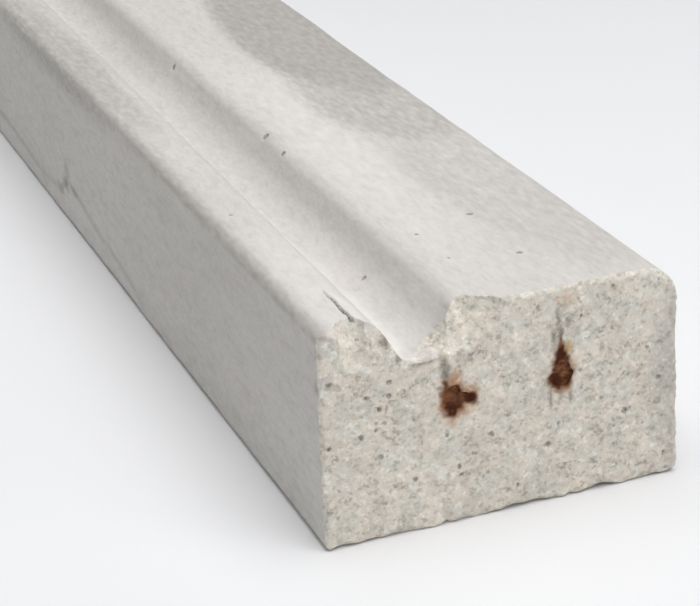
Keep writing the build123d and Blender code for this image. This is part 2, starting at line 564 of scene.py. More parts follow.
def trace_section(bm, shape):
    """Draws the section's outline in the near end's plane, with a true arc at each corner."""
    corners = [(Vector((x, NEAR_END, z)), radius) for (x, z), radius in section_corners(shape)]
    first = pen = None
    for index, (corner, radius) in enumerate(corners):
        back = (corners[index - 1][0] - corner).normalized()
        ahead = (corners[(index + 1) % len(corners)][0] - corner).normalized()
        turn = math.pi - back.angle(ahead)
        start = corner + back * radius * math.tan(turn / 2)
        middle = corner + (back + ahead).normalized() * radius / math.cos(turn / 2)
        if first is None:
            first = pen = bm.verts.new(start)
        else:
            pen = bmesh.ops.extrude_vert_indiv(bm, verts=[pen])["verts"][0]
            pen.co = start
        spun = bmesh.ops.spin(
            bm, geom=[pen], cent=middle, axis=(0, math.copysign(1, back.cross(ahead).y), 0), angle=-turn,
            steps=max(LEAST_ARC_STEPS, round(radius * turn / shape.cell * ARC_STEPS_PER_CELL)),
        )
        pen = next(part for part in spun["geom_last"] if isinstance(part, bmesh.types.BMVert))
    bmesh.ops.contextual_create(bm, geom=[pen, first])


def fill_section(bm, shape):
    """Fills the outline, leaving the wires' bores open."""
    for x, z in WIRE_AXES.values():
        place = Matrix.Translation((x, NEAR_END, z)) @ Matrix.Rotation(math.pi / 2, 4, "X")
        bmesh.ops.create_circle(bm, radius=WIRE_RADIUS, segments=shape.bore_sides, matrix=place)
    bmesh.ops.triangle_fill(bm, use_beauty=True, edges=bm.edges[:], normal=(0, -1, 0))


def grid_section(bm, shape):
    """Cuts the filled section into even cells."""
    for axis in (0, 2):
        normal = Vector((axis == 0, 0, axis == 2))
        low, high = BEAM_LOW[axis], BEAM_HIGH[axis]
        count = round((high - low) / shape.cell)
        for step in range(1, count):
            place = normal * (low + (high - low) * step / count)
            bmesh.ops.bisect_plane(bm, geom=everything(bm), dist=TINY, plane_co=place, plane_no=normal)
    slanted = []
    for edge in bm.edges:
        run = edge.verts[1].co - edge.verts[0].co
        if not edge.is_boundary and min(abs(run.x), abs(run.z)) > TINY:
            slanted.append(edge)
    bmesh.ops.dissolve_edges(bm, edges=slanted, use_verts=False, use_face_split=False)
    spare = [vert for vert in bm.verts if len(vert.link_edges) == 2 and not vert.is_boundary]
    bmesh.ops.dissolve_verts(bm, verts=spare)
    bmesh.ops.remove_doubles(bm, verts=bm.verts[:], dist=shape.cell / MERGED_PARTS_OF_CELL)


def run_out(bm, shape):
    """Extrudes the section to the far end, in rows that stand closer at both ends."""
    length = FAR_END - NEAR_END
    made = bmesh.ops.extrude_face_region(bm, geom=everything(bm), use_keep_orig=True)
    far = [part for part in made["geom"] if isinstance(part, bmesh.types.BMVert)]
    bmesh.ops.translate(bm, verts=far, vec=(0, length, 0))
    bmesh.ops.recalc_face_normals(bm, faces=bm.faces[:])
    lengthwise = [edge for edge in bm.edges if edge.calc_length() > length / 2]
    crowd_rows(bm, lengthwise, shape.rows, NEAR_END, FAR_END, shape.crowding)


def crowd_rows(bm, edges, rows, near, far, crowding):
    """Cuts lengthwise edges into rows that stand closer at both ends."""
    bmesh.ops.subdivide_edges(bm, edges=edges, cuts=rows - 1, use_grid_fill=True)
    for vert in bm.verts:
        share = (vert.co.y - near) / (far - near)
        vert.co.y = near + (far - near) * (share - crowding * math.sin(2 * math.pi * share) / (2 * math.pi))


def place_of(across, along, up):
    """A place of the damage tables in the part's frame."""
    return Vector((across * MM, NEAR_END + along * MM, up * MM))


def refine_zone(bm, wanted):
    """Halves the faces whose middle is wanted."""
    for face in bm.faces:
        face.tag = wanted(face.calc_center_median())
    edges = [edge for edge in bm.edges if any(face.tag for face in edge.link_faces)]
    bmesh.ops.subdivide_edges(bm, edges=edges, cuts=1, use_grid_fill=True)


def refine_spots(bm, spots, size):
    """Halves the edges near the spots until none is longer than a size. A spot is (place, reach)."""
    tree = kdtree.KDTree(len(spots))
    for index, (place, _) in enumerate(spots):
        tree.insert(place, index)
    tree.balance()
    while True:
        edges = []
        for edge in bm.edges:
            long = edge.calc_length()
            if long <= size:
                continue
            start, stop = (vert.co for vert in edge.verts)
            place, index, distance = tree.find((start + stop) / 2)
            reach = spots[index][1]
            if distance > long / 2 + reach:
                continue
            share = geometry.intersect_point_line(place, start, stop)[1]
            foot = start.lerp(stop, min(1.0, max(0.0, share)))
            if (foot - place).length < reach:
                edges.append(edge)
        if not edges:
            return
        bmesh.ops.subdivide_edges(bm, edges=edges, cuts=1, use_grid_fill=True)


def refine_damage(bm, wear):
    """Makes the mesh fine enough for the near end, the wire pits, the holes and the crack."""
    across, first, last = CRACK
    crack = place_of(across, last + CRACK_RUN_OUT, SOFFIT / MM)

    def worn(place):
        near = place.y < NEAR_END + WORN_REACH and (place.z > WORN_HEIGHT or place.y < NEAR_END + TINY)
        split = place.y < crack.y and abs(place.x - crack.x) < CRACK_STRIP and place.z > SOFFIT - TINY
        return near or split

    refine_zone(bm, worn)
    for top, start, stop in SIDE_ZONES:
        low = place_of(0, start, 0)
        high = place_of(0, stop, top)

        def marked(place):
            return place.x < OUTER_SIDE and place.z < high.z and low.y < place.y < high.y

        refine_zone(bm, marked)
    spots = [(Vector((x, NEAR_END, z)), WIRE_RADIUS * PIT_REACH) for x, z in WIRE_AXES.values()]
    refine_spots(bm, spots, PIT_CELL)
    spots = [(place_of(*middle), radius * MM * HOLE_REACH) for middle, radius in HOLES]
    spots += [(place_of(x, 0, up), radius * MM * GRAIN_REACH) for x, up, radius in SPECKS]
    for along in range(math.floor(first), math.ceil(last) + 1):
        spots.append((place_of(across, along, SOFFIT / MM), wear.crack_width * CRACK_REACH))
    refine_spots(bm, spots, FINE_CELL)
    split_faces(bm)


def split_faces(bm):
    """Splits the faces that refining left with many sides or with a straight corner."""
    bmesh.ops.poke(bm, faces=[face for face in bm.faces if len(face.verts) > 4])
    flat = []
    for face in bm.faces:
        if len(face.verts) == 4 and max(loop.calc_angle() for loop in face.loops) > STRAIGHT:
            flat.append(face)
    bmesh.ops.triangulate(bm, faces=flat, quad_method="BEAUTY")


# Relief

# Noise of each texture, in layers of size in metres, seed and weight
GRIT = ((0.0042, 5, 0.8), (0.0019, 7, 0.6), (0.0009, 9, 0.45))
EDGE_SPREAD = ((0.006, 3, 1.0), (0.0022, 4, 0.6))
SKIN_WAVES = ((0.03, 11, 0.7), (0.008, 13, 0.28))
ARRIS_NICKS = ((0.03, 14, 1.0), (0.011, 15, 0.5))
BED_LUMPS = ((0.011, 17, 1.0), (0.004, 19, 0.6))
CHIP_LUMPS = ((0.0055, 31, 0.7), (0.0024, 32, 0.7))
CRACK_BEND = ((0.005, 51, 0.0004),)
CRACK_FRAY = ((0.002, 52, 0.5),)
LINE_WANDER = ((0.012, 24, 0.0006),)
LINE_VARIES = ((0.02, 25, 0.5),)
COVER_FRAY = ((0.0012, 71, 0.00025),)
SCALE_VARIES = ((0.0025, 61, 1.0),)
SCALE_EDGE = ((0.0024, 62, 0.9), (0.0011, 65, 0.6))
SCALE_FACE = ((0.0026, 63, 1.0), (0.0012, 64, 0.6))
HOLE_SEED = 41
# Wire bores, which the relief leaves alone
BORE_ZONE = WIRE_RADIUS * 1.02
# Slants and places in metres between which the wear of the long edges sets in, and the gaps in it
ARRIS_SLANT = (0.12, 0.5)
ARRIS_PLACE = (0.038, 0.044)
LIP_PLACE = (SOFFIT - 0.006, SOFFIT - 0.002)
LIP_WEAR = 1.4
NICK_GAP = 0.25
# Slants between which a face counts as bed, height of the bed's edges, gaps in its lumps
# and its broken share
BED_SLANT = (0.35, 0.9)
BED_EDGE = 0.0015
BED_GAP = 0.3
BED_BROKEN = 0.7
# Breaks and chips: depth of their grit, how far a break's ball lies clear of the end and of the soffit,
# its stretch downwards, and the powers of a squarish and of a round ball
CHIP_GRIT = 0.0006
BREAK_CLEAR = (0.014, 0.006)
BREAK_STRETCH = 1.6
SQUARISH = 4
ROUND = 2
# Holes, as shares of a hole's radius: how far one can reach, how uneven it is and the size of its lumps
HOLE_SEARCH = 1.4
HOLE_UNEVEN = 0.3
HOLE_LUMPS = 0.9
# Width of a blow hole and depth of every hole, as shares of the listed radius
HOLE_WIDTH = 1.4
HOLE_DEPTH = 0.6
# Crack: depth of the skin that it splits, where its fray is read, and how it narrows, shallows and fades
CRACK_SKIN = 0.0008
CRACK_SHIFT = 9
CRACK_NARROWS = 0.4
CRACK_SHALLOWS = 0.7
CRACK_FADES = 0.75
CRACK_FADE = (0.4, 1.0)
# Mould line: how far in the side's skin reaches, heights between which the line sets in, its strength
# and the strip's depth
SIDE_SKIN = 0.001
LINE_FADE = (0.001, 0.005)
LINE_STRENGTH = 0.7
STRIP_DEPTH = 0.6
# Stains: how far past its reach one is looked for, how far a hard and a soft edge drift,
# and the turns and shifts of the drift
STAIN_SEARCH = 1.4
HARD_DRIFT = 0.06
SOFT_DRIFT = 0.26
DRIFT_TURNS = 1.7
DRIFT_SHIFT = 3.1
# Mortar over the wire ends: how deep it lies, radii between which it ends and the spread of its lobes
COVER_DEPTH = 0.0006
COVER_REACH = (WIRE_RADIUS * 1.1, WIRE_RADIUS * 1.45)
COVER_SPREAD = 1.6
# Rust scale: depths between which it ends, its even growth, the spread of its lobes,
# and the level, lumps and rounding of the wire's end face
SCALE_REACH = (0.0002, 0.0024)
SCALE_GROWTH = 0.35
SCALE_SPREAD = 2
SCALE_LEVEL = 0.1
SCALE_LUMPS = 0.5
SCALE_ROUNDING = 0.2
ROUNDING_POWER = 4
WIRE_CROWDING = 0.93
WIRE_RINGS = 8


def cloud(place, size, seed):
    """Smooth noise from -1 to 1 with lumps of about that size."""
    return noise.noise(place / size + Vector((seed, seed * 0.37, -seed)))


def clouds(place, layers, seed=0):
    """Sum of layers of noise."""
    return sum(weight * cloud(place, size, seed + own) for size, own, weight in layers)


def inwards(value):
    """Maps noise from -1..1 to a depth from 0 to 1."""
    return min(1.0, max(0.0, 0.5 + 0.75 * value))


def step(value, low, high):
    """Smooth step from 0 at low to 1 at high."""
    share = min(1.0, max(0.0, (value - low) / (high - low)))
    return share * share * (3 - 2 * share)


def grit(place):
    """Depth from 0 to 1 of the texture of broken concrete."""
    return inwards(clouds(place, GRIT))


class EndEdge:
    """The outline round an end face, with the way into the section at each of its points."""

    def __init__(self, bm):
        rim = []
        for vert in bm.verts:
            if abs(vert.co.y - NEAR_END) > TINY or bore_distance(vert.co) < BORE_ZONE:
                continue
            sides = [face for face in vert.link_faces if abs(face.normal.y) < 0.5]
            if sides:
                rim.append((vert.co.copy(), -sum((face.normal for face in sides), Vector()).normalized()))
        self.ways = [way for _, way in rim]
        self.tree = kdtree.KDTree(len(rim))
        for index, (place, _) in enumerate(rim):
            self.tree.insert(place, index)
        self.tree.balance()

    def nearest(self, place):
        """Depth below the section's outline and the way in, at a place's own section."""
        _, index, depth = self.tree.find((place.x, NEAR_END, place.z))
        return depth, self.ways[index]


def bore_distance(place):
    """Distance from the nearest wire's axis."""
    return min(math.hypot(place.x - x, place.z - z) for x, z in WIRE_AXES.values())


def worn_ends(place, edge, wear):
    """How far a place moves with an end face's broken texture and worn edge, and its broken share."""
    move = Vector()
    share = 0.0
    for end, into in ((NEAR_END, 1), (FAR_END, -1)):
        depth = abs(place.y - end)
        if depth > wear.end_reach:
            continue
        inset, way = edge.nearest(place)
        foot = Vector((place.x, end, place.z))
        spread = clouds(foot, EDGE_SPREAD)
        lack = max(0.0, wear.edge_wear + wear.edge_wear_spread * spread - depth - inset)
        move += Vector((0, into * lack / 2, 0)) + way * (lack / 2)
        move.y += into * wear.end_relief * grit(foot) * (1 - depth / wear.end_reach)
        if depth < TINY or lack > 0:
            share = 1.0
    return move, share


def roughen(bm, wear):
    """Gives the faces their relief and wears the edges. Returns the broken share of each vertex."""
    edge = EndEdge(bm)
    broken = []
    moves = []
    for vert in bm.verts:
        place = vert.co
        if bore_distance(place) < BORE_ZONE:
            broken.append(1.0)
            moves.append(Vector())
            continue
        move, share = worn_ends(place, edge, wear)
        normal = vert.normal
        if share < 1.0:
            wave = sum(weight * inwards(cloud(place, size, seed)) for size, seed, weight in SKIN_WAVES)
            move -= normal * wear.skin_relief * wave
            slant = step(min(abs(normal.x), normal.z), *ARRIS_SLANT)
            slant *= max(step(abs(place.x), *ARRIS_PLACE), LIP_WEAR * step(place.z, *LIP_PLACE))
            nicks = inwards(clouds(place, ARRIS_NICKS) - NICK_GAP)
            move -= normal * wear.arris_wear * slant * nicks
        if -normal.z > BED_SLANT[0] or place.z < BED_EDGE:
            move.z += wear.bed_relief * inwards(clouds(place, BED_LUMPS) - BED_GAP)
            share = max(share, BED_BROKEN * step(-normal.z, *BED_SLANT))
        broken.append(share)
        moves.append(move)
    for vert, move in zip(bm.verts, moves):
        vert.co += move
    return broken


def carve(bm, tree, ball, seed):
    """Pushes the vertices inside a ragged, sheared ball out to its surface. Returns their indices."""
    touched = []
    middle, reach, ragged, power, (skew, lean) = ball
    size = max(reach)
    for _, index, _ in tree.find_range(middle, 2 * size):
        vert = bm.verts[index]
        ray = vert.co - middle
        along = ray.y - skew * ray.x - lean * ray.z
        shares = (abs(ray.x / reach[0]), abs(along / reach[1]), abs(ray.z / reach[2]))
        unit = sum(share ** power for share in shares) ** (1 / power)
        if unit < TINY:
            continue
        smooth = middle + ray / unit
        rough = ragged * clouds(smooth, CHIP_LUMPS, seed) + CHIP_GRIT * (grit(smooth) - 0.5)
        uneven = 1 + rough / size
        if unit < uneven:
            vert.co = middle + ray * (uneven / unit)
            touched.append(index)
    return touched


def dent(bm, tree, place, radius, depth):
    """Sinks a small hole into the surface. Returns how deep each vertex lies in it, from 0 to 1."""
    middle = tree.find(place)[0]
    shares = {}
    for found, index, distance in tree.find_range(middle, radius * HOLE_SEARCH):
        uneven = radius * (1 + HOLE_UNEVEN * cloud(found, radius * HOLE_LUMPS, HOLE_SEED))
        share = 1 - (distance / uneven) ** 2
        if share > 0:
            shares[index] = math.sqrt(share)
    for index, share in shares.items():
        vert = bm.verts[index]
        vert.co -= vert.normal * depth * share
    return shares


def split_crack(bm, wear):
    """Opens the crack in the outer land. Returns how deep each vertex lies in it, from 0 to 1."""
    across, first, last = CRACK
    start, stop = (place_of(across, along, SOFFIT / MM).y for along in (first, last))
    shares = {}
    for vert in bm.verts:
        if not start < vert.co.y < stop or vert.co.z < SOFFIT - CRACK_SKIN:
            continue
        along = (vert.co.y - start) / (stop - start)
        bend = clouds(Vector((0, vert.co.y, 0)), CRACK_BEND)
        fray = clouds(Vector((CRACK_SHIFT, vert.co.y, 0)), CRACK_FRAY)
        wide = wear.crack_width / 2 * (1 - CRACK_NARROWS * along) * (1 + fray)
        share = 1 - abs(vert.co.x - across * MM - bend) / wide
        if share > 0:
            shares[vert.index] = share * (1 - CRACK_FADES * step(along, *CRACK_FADE))
            vert.co.z -= wear.crack_depth * math.sqrt(share) * (1 - CRACK_SHALLOWS * along)
    return shares


def mould_line_height(along):
    """Height of the mould's line at a place along the length."""
    for (start, low), (stop, high) in zip(MOULD_LINE, MOULD_LINE[1:]):
        if start <= along < stop:
            return low + (high - low) * step(along, start, stop)
    return 0.0


def mark_mould_line(bm, wear):
    """Presses the mould's line into the outer side. Returns the shares of the line and of the strip below,
    which carry painted shadow and painted light.
    """
    line = {}
    strip = {}
    for vert in bm.verts:
        place = vert.co
        rise = mould_line_height((place.y - NEAR_END) / MM) * MM
        if place.x > BEAM_LOW.x + SIDE_SKIN or rise <= 0:
            continue
        rise += clouds(Vector((0, place.y, 0)), LINE_WANDER)
        strength = step(rise, *LINE_FADE) * (LINE_STRENGTH + clouds(place, LINE_VARIES))
        away = place.z - rise
        line[vert.index] = strength * (1 - step(abs(away), 0, wear.line_width))
        strip[vert.index] = strength * (1 - step(away, -wear.line_width, 0))
        place.x += wear.line_depth * (line[vert.index] + STRIP_DEPTH * strip[vert.index])
    return line, strip


def spread_stains(tree, stains, layers):
    """Lays the stains on the vertices, the strongest counting, in a list of shares for each colour."""
    noise.seed_set(STAIN_SEED)
    for seed, (name, middle, reach, softness, strength) in enumerate(stains):
        centre = place_of(*middle)
        shift = Vector((seed * DRIFT_SHIFT, 0, 0))
        for place, index, _ in tree.find_range(centre, max(reach) * MM * STAIN_SEARCH):
            away = place - centre
            away = Vector((away.x / reach[0], away.y / reach[1], away.z / reach[2])) / MM
            drift = (HARD_DRIFT + SOFT_DRIFT * softness) * noise.noise_vector(away * DRIFT_TURNS + shift)
            share = strength * (1 - step((away + drift).length, 1 - softness, 1))
            layers[name][index] = max(layers[name][index], share)


def store_layers(piece, layers):
    """Keeps the shares as attributes that the material reads."""
    for name, values in layers.items():
        piece.data.attributes.new(name, "FLOAT", "POINT").data.foreach_set("value", values)


def vertex_tree(bm):
    bm.verts.index_update()
    bm.verts.ensure_lookup_table()
    tree = kdtree.KDTree(len(bm.verts))
    for index, vert in enumerate(bm.verts):
        tree.insert(vert.co, index)
    tree.balance()
    return tree


def break_ball(end, out, chip):
    """Squarish ball that takes a break out of the soffit's edge, its flat back sloping out to the foot."""
    across, half, setback, down, skew, ragged = chip
    clear_out, clear_up = BREAK_CLEAR
    lean = setback / down
    middle = Vector((across * MM, end + out * clear_out, SOFFIT + clear_up))
    reach = (half * MM, setback * MM + clear_out + lean * clear_up, BREAK_STRETCH * (down * MM + clear_up))
    return middle, reach, ragged * MM, SQUARISH, (-out * skew, -out * lean)


def round_ball(start, out, chip):
    """Round ball that takes a chip or a pit, measured from a start on the end face."""
    (across, outside, up), reach, ragged = chip
    middle = start + Vector((across, out * outside, up)) * MM
    return middle, [side * MM for side in reach], ragged * MM, ROUND, (0, 0)


def chip_ends(bm, tree, broken):
    """Breaks the edges of both ends and the pits round the wires."""
    balls = []
    ends = ((NEAR_END, -1, NEAR_BREAKS, NEAR_CHIPS), (FAR_END, 1, FAR_BREAKS, FAR_CHIPS))
    for end, out, breaks, chips in ends:
        balls += [break_ball(end, out, chip) for chip in breaks]
        balls += [round_ball(Vector((0, end, 0)), out, chip) for chip in chips]
        for node, pits in WIRE_PITS.items():
            x, z = WIRE_AXES[node]
            balls += [round_ball(Vector((x, end, z)), out, pit) for pit in pits]
    for seed, ball in enumerate(balls):
        for index in carve(bm, tree, ball, seed):
            broken[index] = 1.0


def lobe_height(ray, lobes, spread):
    """Height of the lobes in a ray's direction. A lobe is (direction, height, half-width)."""
    angle = math.degrees(math.atan2(ray.z, ray.x))
    height = 0.0
    for direction, amount, half in lobes:
        away = abs((angle - direction + 180) % 360 - 180)
        height += amount * MM * (1 - step(away, 0, spread * half))
    return height


def cover_wires(bm):
    """Draws the mouths of the near bores in over the edges of the wires."""
    for vert in bm.verts:
        for node, covers in WIRE_COVERS.items():
            x, z = WIRE_AXES[node]
            ray = Vector((vert.co.x - x, 0, vert.co.z - z))
            if vert.co.y > NEAR_END + COVER_DEPTH or ray.length > COVER_REACH[1]:
                continue
            shift = clouds(vert.co, COVER_FRAY) + lobe_height(ray, covers, COVER_SPREAD)
            fade = 1 - step(ray.length, *COVER_REACH)
            vert.co -= ray.normalized() * shift * fade


def hold_inside(bm):
    """Keeps every vertex inside the part's own box."""
    low, high = CAD_BOX
    for vert in bm.verts:
        for axis in range(3):
            vert.co[axis] = min(high[axis], max(low[axis], vert.co[axis]))


def finish_mesh(bm, name, material):
    """Turns the bmesh into an object that sits at the origin."""
    mesh = bpy.data.meshes.new(name)
    bm.to_mesh(mesh)
    bm.free()
    for polygon in mesh.polygons:
        polygon.use_smooth = True
    mesh.set_sharp_from_angle(angle=SHARP)
    mesh.materials.append(material)
    piece = bpy.data.objects.new(name, mesh)
    bpy.context.scene.collection.objects.link(piece)
    return piece


def draw_wire(bm, node, shape):
    """Draws a wire as a rod with rings of faces on both ends."""
    x, z = WIRE_AXES[node]
    near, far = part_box(node)[0].y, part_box(node)[1].y
    place = Matrix.Translation((x, near, z)) @ Matrix.Rotation(math.pi / 2, 4, "X")
    bmesh.ops.create_circle(bm, cap_ends=True, radius=WIRE_RADIUS, segments=shape.wire_sides, matrix=place)
    made = bmesh.ops.extrude_face_region(bm, geom=everything(bm), use_keep_orig=True)
    moved = [part for part in made["geom"] if isinstance(part, bmesh.types.BMVert)]
    bmesh.ops.translate(bm, verts=moved, vec=(0, far - near, 0))
    bmesh.ops.recalc_face_normals(bm, faces=bm.faces[:])
    caps = [face for face in bm.faces if len(face.verts) == shape.wire_sides]
    lengthwise = [edge for edge in bm.edges if edge.calc_length() > (far - near) / 2]
    crowd_rows(bm, lengthwise, shape.rows // 2, near, far, WIRE_CROWDING)
    for cap in caps:
        for _ in range(WIRE_RINGS - 1):
            bmesh.ops.inset_region(bm, faces=[cap], thickness=WIRE_RADIUS / WIRE_RINGS, use_even_offset=True)
    bmesh.ops.poke(bm, faces=caps)
    return near, far


def rust_wire(bm, node, near, far, wear):
    """Grows rust scale on the wire's ends."""
    x, z = WIRE_AXES[node]
    for vert in bm.verts:
        depth = min(vert.co.y - near, far - vert.co.y)
        into = 1 if vert.co.y - near < far - vert.co.y else -1
        ray = Vector((vert.co.x - x, 0, vert.co.z - z))
        fade = 1 - step(depth, *SCALE_REACH)
        growth = SCALE_GROWTH * wear.scale_depth * (1 + clouds(vert.co, SCALE_VARIES))
        growth += lobe_height(ray, WIRE_LOBES[node], SCALE_SPREAD)
        growth += wear.scale_depth * clouds(vert.co, SCALE_EDGE)
        vert.co += ray * (fade * growth / WIRE_RADIUS)
        if depth < TINY:
            rounded = (ray.length / WIRE_RADIUS) ** ROUNDING_POWER
            level = SCALE_LEVEL + SCALE_LUMPS * clouds(vert.co, SCALE_FACE) + SCALE_ROUNDING * rounded
            vert.co.y += into * wear.scale_depth * level


# Materials

# Textures: size in metres, detail and roughness
SKIN_CLOUDS = (0.035, 4.0, 0.6)
SKIN_MOTTLES = (0.0024, 4.0, 0.65)
SKIN_GRAIN = (0.0009, 2.0, 0.6)
SAND_JITTER = (0.0006, 1.0)
SAND_CLOUDS = (0.0045, 4.0, 0.65)
SAND_TINTS = (0.006, 3.0, 0.6)
SAND_BLOTCHES = (0.012, 3.0, 0.6)
SAND_SMUDGES = (0.0026, 2.0, 0.5)
RUST_PATCHES = (0.0032, 3.0, 0.6)
RUST_FLAKES = (0.0009, 3.0, 0.7)
# Sand grains, and how far their outlines are bent, in metres
SMALL_SAND = 0.0008
LARGE_SAND = 0.0018
SAND_BEND = (0.0009, 0.0009, 0.0009)
# Tones between which a texture counts, and what it counts there
CLOUD_RANGE = (0.35, 0.75, 0.0, 0.14)
MOTTLE_RANGE = (0.42, 0.75, 0.0, 0.25)
GRAIN_RANGE = (0.3, 0.75, 0.0, 0.2)
DARK_SAND_RANGE = (0.08, 0.5)
PALE_SAND_RANGE = (0.52, 0.85)
TINT_RANGE = (0.35, 0.65)
BLOTCH_RANGE = (0.3, 0.7, 0.97, 1.1)
SMUDGE_RANGE = (0.52, 0.72, 1.0, 0.84)
RUST_RANGE = (0.42, 0.66)
CONCRETE_ROUGHNESS = (0.3, 0.7, 0.82, 0.95)
RUST_ROUGHNESS = (0.3, 0.7, 0.75, 0.95)
# Tints of the broken cement
COOL_TINT = (0.98, 1.0, 0.99)
WARM_TINT = (1.025, 0.995, 0.96)
# Weights of the sand and of the rust in their tones, and of the skin in its height
SMALL_SAND_WEIGHT = 0.34
LARGE_SAND_WEIGHT = 0.22
SAND_CLOUD_WEIGHT = 0.44
SAND_DOME = -0.4
PATCH_WEIGHT = 0.65
FLAKE_WEIGHT = 0.35
GRAIN_HEIGHT = 0.12
MOTTLE_HEIGHT = 0.15
# Frayed edges: strength, gain that brings the middle of an edge to one, and detail
FRAY_STRENGTH = 1.1
FRAY_GAIN = 4.0
FRAY_DETAIL = 3.0
# The skin's textures are drawn out along the length
DRAWN_OUT = (1.0, 0.3, 1.0)
BUMP_DEPTH = 0.0004
CONCRETE_BUMP = 0.5
RUST_BUMP = 0.7
SHEEN = 0.25


def put(tree, kind, ins=None, **settings):
    """Adds a node, links the inputs that are sockets and sets the others."""
    node = tree.nodes.new(kind)
    for name, value in settings.items():
        setattr(node, name, value)
    for name, value in (ins or {}).items():
        if isinstance(value, bpy.types.NodeSocket):
            tree.links.new(value, node.inputs[name])
        else:
            node.inputs[name].default_value = value
    return node


def maths(tree, operation, first, second=0.0, clamp=False):
    node = put(tree, "ShaderNodeMath", {0: first, 1: second}, operation=operation, use_clamp=clamp)
    return node.outputs[0]


def weigh(tree, *parts):
    """Sum of values times their weights. A part is (value, weight)."""
    terms = [maths(tree, "MULTIPLY", value, weight) for value, weight in parts]
    total = terms[0]
    for term in terms[1:]:
        total = maths(tree, "ADD", total, term)
    return total


def vector_maths(tree, operation, first, second=(0.0, 0.0, 0.0)):
    return put(tree, "ShaderNodeVectorMath", {0: first, 1: second}, operation=operation).outputs


def blend(tree, factor, first, second, kind="MIX"):
    node = put(tree, "ShaderNodeMix", {0: factor, 6: first, 7: second}, data_type="RGBA", blend_type=kind)
    return node.outputs[2]


def ramp(tree, value, low, high, to_low=0.0, to_high=1.0):
    """Smooth step of a value from low to high."""
    ins = {"Value": value, "From Min": low, "From Max": high, "To Min": to_low, "To Max": to_high}
    return put(tree, "ShaderNodeMapRange", ins, interpolation_type="SMOOTHSTEP").outputs["Result"]


def cloud_texture(tree, vector, size, detail=2.0, roughness=0.5):
    ins = {"Vector": vector, "Scale": 1 / size, "Detail": detail, "Roughness": roughness}
    return put(tree, "ShaderNodeTexNoise", ins).outputs


def grain_texture(tree, vector, size):
    """Cells with a random tone. Returns the tone and the distance from the cell's middle."""
    cells = put(tree, "ShaderNodeTexVoronoi", {"Vector": vector, "Scale": 1 / size}).outputs
    return put(tree, "ShaderNodeSeparateColor", {"Color": cells["Color"]}).outputs[0], cells["Distance"]


def opaque(colour):
    return (*colour, 1.0)


def new_group(name, inputs, outputs):
    """Empty shader node group with named sockets. Returns the group, its inputs and its outputs."""
    group = bpy.data.node_groups.new(name, "ShaderNodeTree")
    for label, kind in inputs:
        group.interface.new_socket(label, in_out="INPUT", socket_type="NodeSocket" + kind)
    for label, kind in outputs:
        group.interface.new_socket(label, in_out="OUTPUT", socket_type="NodeSocket" + kind)
    return group, group.nodes.new("NodeGroupInput").outputs, group.nodes.new("NodeGroupOutput").inputs


def new_material(name):
    material = bpy.data.materials.new(name)
    material.use_nodes = True
    tree = material.node_tree
    tree.nodes.clear()
    shader = put(tree, "ShaderNodeBsdfPrincipled", {"Specular IOR Level": SHEEN})
    put(tree, "ShaderNodeOutputMaterial", {"Surface": shader.outputs[0]})
    return material, tree, shader


def fray_group():
    """Breaks the soft edge of a mask into specks."""
    if "Frayed mask" in bpy.data.node_groups:
        return bpy.data.node_groups["Frayed mask"]
    inputs = (("Vector", "Vector"), ("Mask", "Float"), ("Speck", "Float"))
    group, ins, outs = new_group("Frayed mask", inputs, (("Mask", "Float"),))
    scale = maths(group, "DIVIDE", 1.0, ins["Speck"])
    texture = {"Vector": ins["Vector"], "Scale": scale, "Detail": FRAY_DETAIL}
    specks = put(group, "ShaderNodeTexNoise", texture).outputs["Fac"]
    lift = maths(group, "MULTIPLY", maths(group, "SUBTRACT", specks, 0.5), FRAY_STRENGTH)
    edge = maths(group, "MULTIPLY", ins["Mask"], maths(group, "SUBTRACT", 1.0, ins["Mask"]))
    lift = maths(group, "MULTIPLY", lift, maths(group, "MULTIPLY", edge, FRAY_GAIN))
    group.links.new(maths(group, "ADD", ins["Mask"], lift, True), outs["Mask"])
    return group


def rust_group():
    """Colour and height of rust scale."""
    if "Rust scale" in bpy.data.node_groups:
        return bpy.data.node_groups["Rust scale"]
    inputs = (("Vector", "Vector"), ("Dark", "Color"), ("Bright", "Color"))
    group, ins, outs = new_group("Rust scale", inputs, (("Color", "Color"), ("Height", "Float")))
    patches = cloud_texture(group, ins["Vector"], *RUST_PATCHES)["Fac"]
    flakes = cloud_texture(group, ins["Vector"], *RUST_FLAKES)["Fac"]
    tone = weigh(group, (patches, PATCH_WEIGHT), (flakes, FLAKE_WEIGHT))
    colour = blend(group, ramp(group, tone, *RUST_RANGE), ins["Dark"], ins["Bright"])
    group.links.new(colour, outs["Color"])
    group.links.new(flakes, outs["Height"])
    return group


def stain_mask(tree, spot, name, speck):
    """Mask of a stain that the mesh carries, with a frayed edge."""
    mask = put(tree, "ShaderNodeAttribute", attribute_name=name).outputs["Fac"]
    ins = {"Vector": spot, "Mask": mask, "Speck": speck}
    return put(tree, "ShaderNodeGroup", ins, node_tree=fray_group()).outputs[0]


def rust_scale(tree, spot, finish):
    ins = {"Vector": spot, "Dark": opaque(finish.rust_dark), "Bright": opaque(finish.rust_bright)}
    return put(tree, "ShaderNodeGroup", ins, node_tree=rust_group()).outputs


def skin_colour(tree, drawn, finish):
    """Cement skin with soft clouds and a fine grain. Returns its colour, grain and mottles."""
    patches = cloud_texture(tree, drawn, *SKIN_CLOUDS)["Fac"]
    mottles = cloud_texture(tree, drawn, *SKIN_MOTTLES)["Fac"]
    grain = cloud_texture(tree, drawn, *SKIN_GRAIN)["Fac"]
    colour = opaque(finish.skin)
    for tone, limits in ((patches, CLOUD_RANGE), (mottles, MOTTLE_RANGE), (grain, GRAIN_RANGE)):
        colour = blend(tree, ramp(tree, tone, *limits), colour, opaque(finish.damp))
    return colour, grain, mottles


